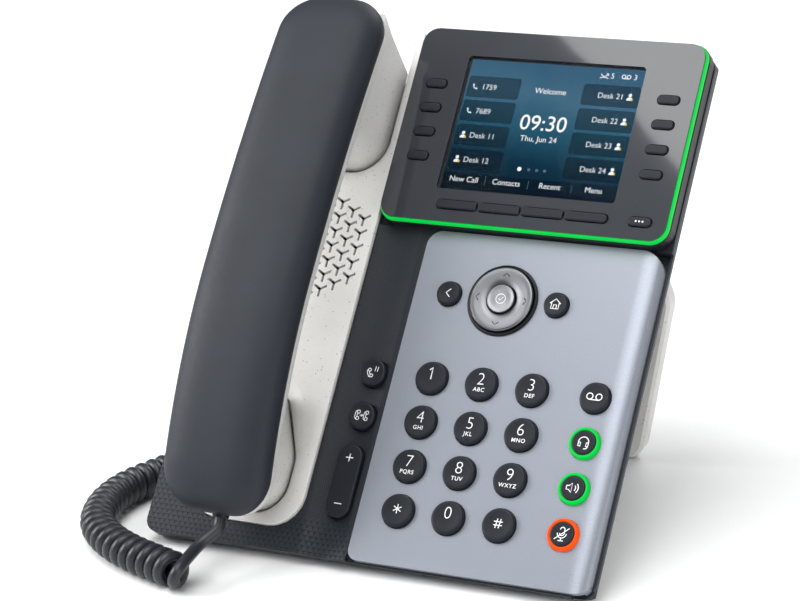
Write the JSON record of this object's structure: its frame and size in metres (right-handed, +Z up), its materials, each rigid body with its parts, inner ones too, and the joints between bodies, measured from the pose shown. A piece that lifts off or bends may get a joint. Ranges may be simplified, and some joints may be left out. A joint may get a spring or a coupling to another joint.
{
  "type": "desk ip phone",
  "caption": "Desk IP phone: tilted keypad base with a colour display, a handset on a coiled cord, and a folding rear stand.",
  "frame": {"origin": "centre of the phone's footprint on the table, without its cord", "axes": "+Z up, +X to the phone's right as its user sees it, -Y towards the user"},
  "size_m": [0.2124, 0.1782, 0.1842],
  "materials": {
    "charcoal": "fine matte, slightly blue charcoal",
    "silver": "satin silver paint with a fine grain",
    "light": "green lit translucent strip",
    "gloss_dark": "glossy dark grey",
    "lens": "clear polished",
    "screen": "lit blue picture",
    "key_black": "satin black with white legends",
    "metal": "turned, satin",
    "silicone": "soft matte",
    "board": "green solder mask",
    "black_part": "matte black",
    "light_plastic": "off-white with fine grey specks",
    "cord": "satin dark vinyl",
    "clear_plug": "clear moulded"
  },
  "bodies": {
    "base": {"front_housing": "charcoal", "rear_housing": "charcoal", "keypad_panel": "silver", "display_frame": "charcoal", "light_bar": "light", "display_bezel": "gloss_dark", "display_lens": "lens", "lcd_module": "screen", "key_mat": "silicone", "main_board": "board", "loudspeaker": "black_part", "handset_cradle": "light_plastic", "jack_block": "black_part", "base_foot": "black_part", "cord_base_plug": "clear_plug", "cord_coil": "cord", "cord_handset_lead": "cord", "cord_base_lead": "cord"},
    "handset": {"handset_outer_shell": "charcoal", "handset_inner_shell": "light_plastic", "receiver_capsule": "black_part"},
    "stand": {"desk_stand": "light_plastic", "stand_foot": "black_part"},
    "hookswitch": {"hookswitch_plunger": "light_plastic"},
    "volume": {"volume_rocker": "key_black"},
    "navigation": {"nav_ring": "metal"},
    "select": {"select_key": "metal"},
    "dial_key_1": {"dial_key_1": "key_black"},
    "dial_key_2": {"dial_key_2": "key_black"},
    "dial_key_3": {"dial_key_3": "key_black"},
    "dial_key_4": {"dial_key_4": "key_black"},
    "dial_key_5": {"dial_key_5": "key_black"},
    "dial_key_6": {"dial_key_6": "key_black"},
    "dial_key_7": {"dial_key_7": "key_black"},
    "dial_key_8": {"dial_key_8": "key_black"},
    "dial_key_9": {"dial_key_9": "key_black"},
    "dial_key_star": {"dial_key_star": "key_black"},
    "dial_key_0": {"dial_key_0": "key_black"},
    "dial_key_hash": {"dial_key_hash": "key_black"},
    "messages_key": {"messages_key": "key_black"},
    "headset_key": {"headset_key": "key_black"},
    "speaker_key": {"speaker_key": "key_black"},
    "mute_key": {"mute_key": "key_black"},
    "back_key": {"back_key": "key_black"},
    "home_key": {"home_key": "key_black"},
    "hold_key": {"hold_key": "key_black"},
    "transfer_key": {"transfer_key": "key_black"},
    "line_key_left_1": {"line_key_left_1": "key_black"},
    "line_key_left_2": {"line_key_left_2": "key_black"},
    "line_key_left_3": {"line_key_left_3": "key_black"},
    "line_key_left_4": {"line_key_left_4": "key_black"},
    "line_key_right_1": {"line_key_right_1": "key_black"},
    "line_key_right_2": {"line_key_right_2": "key_black"},
    "line_key_right_3": {"line_key_right_3": "key_black"},
    "line_key_right_4": {"line_key_right_4": "key_black"},
    "soft_key_1": {"soft_key_1": "key_black"},
    "soft_key_2": {"soft_key_2": "key_black"},
    "soft_key_3": {"soft_key_3": "key_black"},
    "soft_key_4": {"soft_key_4": "key_black"},
    "more_key": {"more_key": "key_black"}
  },
  "joints": [
    {"name": "handset_lift", "type": "slide", "parent": "base", "child": "handset", "axis": [0, -0.766, 0.6428], "range_m": [0, 0.06]},
    {"name": "hookswitch_rise", "type": "slide", "parent": "base", "child": "hookswitch", "axis": [0, -0.766, 0.6428], "range_m": [0, 0.0024], "stiffness_N_per_m": 60, "springref_m": 0.004},
    {"name": "stand_fold", "type": "hinge", "parent": "base", "child": "stand", "pos_m": [0, 0.06495, 0.10206], "axis": [1, 0, 0], "range_deg": [-18, 0]},
    {"name": "volume_tilt", "type": "hinge", "parent": "base", "child": "volume", "pos_m": [-0.01235, -0.04247, 0.02693], "axis": [1, 0, 0], "range_deg": [-3, 3], "stiffness_Nm_per_rad": 0.1},
    {"name": "navigation_tilt", "type": "hinge", "parent": "base", "child": "navigation", "pos_m": [0.03175, 0.00473, 0.08553], "axis": [1, 0, 0], "range_deg": [-2.5, 2.5], "stiffness_Nm_per_rad": 0.12},
    {"name": "select_press", "type": "slide", "parent": "base", "child": "select", "axis": [0, 0.766, -0.6428], "range_m": [0, 0.0008], "stiffness_N_per_m": 400, "springref_m": -0.001},
    {"name": "dial_key_1_press", "type": "slide", "parent": "base", "child": "dial_key_1", "axis": [0, 0.766, -0.6428], "range_m": [0, 0.001], "stiffness_N_per_m": 400, "springref_m": -0.001},
    {"name": "dial_key_2_press", "type": "slide", "parent": "base", "child": "dial_key_2", "axis": [0, 0.766, -0.6428], "range_m": [0, 0.001], "stiffness_N_per_m": 400, "springref_m": -0.001},
    {"name": "dial_key_3_press", "type": "slide", "parent": "base", "child": "dial_key_3", "axis": [0, 0.766, -0.6428], "range_m": [0, 0.001], "stiffness_N_per_m": 400, "springref_m": -0.001},
    {"name": "dial_key_4_press", "type": "slide", "parent": "base", "child": "dial_key_4", "axis": [0, 0.766, -0.6428], "range_m": [0, 0.001], "stiffness_N_per_m": 400, "springref_m": -0.001},
    {"name": "dial_key_5_press", "type": "slide", "parent": "base", "child": "dial_key_5", "axis": [0, 0.766, -0.6428], "range_m": [0, 0.001], "stiffness_N_per_m": 400, "springref_m": -0.001},
    {"name": "dial_key_6_press", "type": "slide", "parent": "base", "child": "dial_key_6", "axis": [0, 0.766, -0.6428], "range_m": [0, 0.001], "stiffness_N_per_m": 400, "springref_m": -0.001},
    {"name": "dial_key_7_press", "type": "slide", "parent": "base", "child": "dial_key_7", "axis": [0, 0.766, -0.6428], "range_m": [0, 0.001], "stiffness_N_per_m": 400, "springref_m": -0.001},
    {"name": "dial_key_8_press", "type": "slide", "parent": "base", "child": "dial_key_8", "axis": [0, 0.766, -0.6428], "range_m": [0, 0.001], "stiffness_N_per_m": 400, "springref_m": -0.001},
    {"name": "dial_key_9_press", "type": "slide", "parent": "base", "child": "dial_key_9", "axis": [0, 0.766, -0.6428], "range_m": [0, 0.001], "stiffness_N_per_m": 400, "springref_m": -0.001},
    {"name": "dial_key_star_press", "type": "slide", "parent": "base", "child": "dial_key_star", "axis": [0, 0.766, -0.6428], "range_m": [0, 0.001], "stiffness_N_per_m": 400, "springref_m": -0.001},
    {"name": "dial_key_0_press", "type": "slide", "parent": "base", "child": "dial_key_0", "axis": [0, 0.766, -0.6428], "range_m": [0, 0.001], "stiffness_N_per_m": 400, "springref_m": -0.001},
    {"name": "dial_key_hash_press", "type": "slide", "parent": "base", "child": "dial_key_hash", "axis": [0, 0.766, -0.6428], "range_m": [0, 0.001], "stiffness_N_per_m": 400, "springref_m": -0.001},
    {"name": "messages_key_press", "type": "slide", "parent": "base", "child": "messages_key", "axis": [0, 0.766, -0.6428], "range_m": [0, 0.001], "stiffness_N_per_m": 400, "springref_m": -0.001},
    {"name": "headset_key_press", "type": "slide", "parent": "base", "child": "headset_key", "axis": [0, 0.766, -0.6428], "range_m": [0, 0.001], "stiffness_N_per_m": 400, "springref_m": -0.001},
    {"name": "speaker_key_press", "type": "slide", "parent": "base", "child": "speaker_key", "axis": [0, 0.766, -0.6428], "range_m": [0, 0.001], "stiffness_N_per_m": 400, "springref_m": -0.001},
    {"name": "mute_key_press", "type": "slide", "parent": "base", "child": "mute_key", "axis": [0, 0.766, -0.6428], "range_m": [0, 0.001], "stiffness_N_per_m": 400, "springref_m": -0.001},
    {"name": "back_key_press", "type": "slide", "parent": "base", "child": "back_key", "axis": [0, 0.766, -0.6428], "range_m": [0, 0.001], "stiffness_N_per_m": 400, "springref_m": -0.001},
    {"name": "home_key_press", "type": "slide", "parent": "base", "child": "home_key", "axis": [0, 0.766, -0.6428], "range_m": [0, 0.001], "stiffness_N_per_m": 400, "springref_m": -0.001},
    {"name": "hold_key_press", "type": "slide", "parent": "base", "child": "hold_key", "axis": [0, 0.766, -0.6428], "range_m": [0, 0.001], "stiffness_N_per_m": 400, "springref_m": -0.001},
    {"name": "transfer_key_press", "type": "slide", "parent": "base", "child": "transfer_key", "axis": [0, 0.766, -0.6428], "range_m": [0, 0.001], "stiffness_N_per_m": 400, "springref_m": -0.001},
    {"name": "line_key_left_1_press", "type": "slide", "parent": "base", "child": "line_key_left_1", "axis": [0, 0.766, -0.6428], "range_m": [0, 0.0005], "stiffness_N_per_m": 500, "springref_m": -0.0008},
    {"name": "line_key_left_2_press", "type": "slide", "parent": "base", "child": "line_key_left_2", "axis": [0, 0.766, -0.6428], "range_m": [0, 0.0005], "stiffness_N_per_m": 500, "springref_m": -0.0008},
    {"name": "line_key_left_3_press", "type": "slide", "parent": "base", "child": "line_key_left_3", "axis": [0, 0.766, -0.6428], "range_m": [0, 0.0005], "stiffness_N_per_m": 500, "springref_m": -0.0008},
    {"name": "line_key_left_4_press", "type": "slide", "parent": "base", "child": "line_key_left_4", "axis": [0, 0.766, -0.6428], "range_m": [0, 0.0005], "stiffness_N_per_m": 500, "springref_m": -0.0008},
    {"name": "line_key_right_1_press", "type": "slide", "parent": "base", "child": "line_key_right_1", "axis": [0, 0.766, -0.6428], "range_m": [0, 0.0005], "stiffness_N_per_m": 500, "springref_m": -0.0008},
    {"name": "line_key_right_2_press", "type": "slide", "parent": "base", "child": "line_key_right_2", "axis": [0, 0.766, -0.6428], "range_m": [0, 0.0005], "stiffness_N_per_m": 500, "springref_m": -0.0008},
    {"name": "line_key_right_3_press", "type": "slide", "parent": "base", "child": "line_key_right_3", "axis": [0, 0.766, -0.6428], "range_m": [0, 0.0005], "stiffness_N_per_m": 500, "springref_m": -0.0008},
    {"name": "line_key_right_4_press", "type": "slide", "parent": "base", "child": "line_key_right_4", "axis": [0, 0.766, -0.6428], "range_m": [0, 0.0005], "stiffness_N_per_m": 500, "springref_m": -0.0008},
    {"name": "soft_key_1_press", "type": "slide", "parent": "base", "child": "soft_key_1", "axis": [0, 0.766, -0.6428], "range_m": [0, 0.0005], "stiffness_N_per_m": 500, "springref_m": -0.0008},
    {"name": "soft_key_2_press", "type": "slide", "parent": "base", "child": "soft_key_2", "axis": [0, 0.766, -0.6428], "range_m": [0, 0.0005], "stiffness_N_per_m": 500, "springref_m": -0.0008},
    {"name": "soft_key_3_press", "type": "slide", "parent": "base", "child": "soft_key_3", "axis": [0, 0.766, -0.6428], "range_m": [0, 0.0005], "stiffness_N_per_m": 500, "springref_m": -0.0008},
    {"name": "soft_key_4_press", "type": "slide", "parent": "base", "child": "soft_key_4", "axis": [0, 0.766, -0.6428], "range_m": [0, 0.0005], "stiffness_N_per_m": 500, "springref_m": -0.0008},
    {"name": "more_key_press", "type": "slide", "parent": "base", "child": "more_key", "axis": [0, 0.766, -0.6428], "range_m": [0, 0.0005], "stiffness_N_per_m": 500, "springref_m": -0.0008}
  ],
  "couplings": [
    {"joint": "hookswitch_rise", "follows": "handset_lift", "ratio": 0.04}
  ]
}
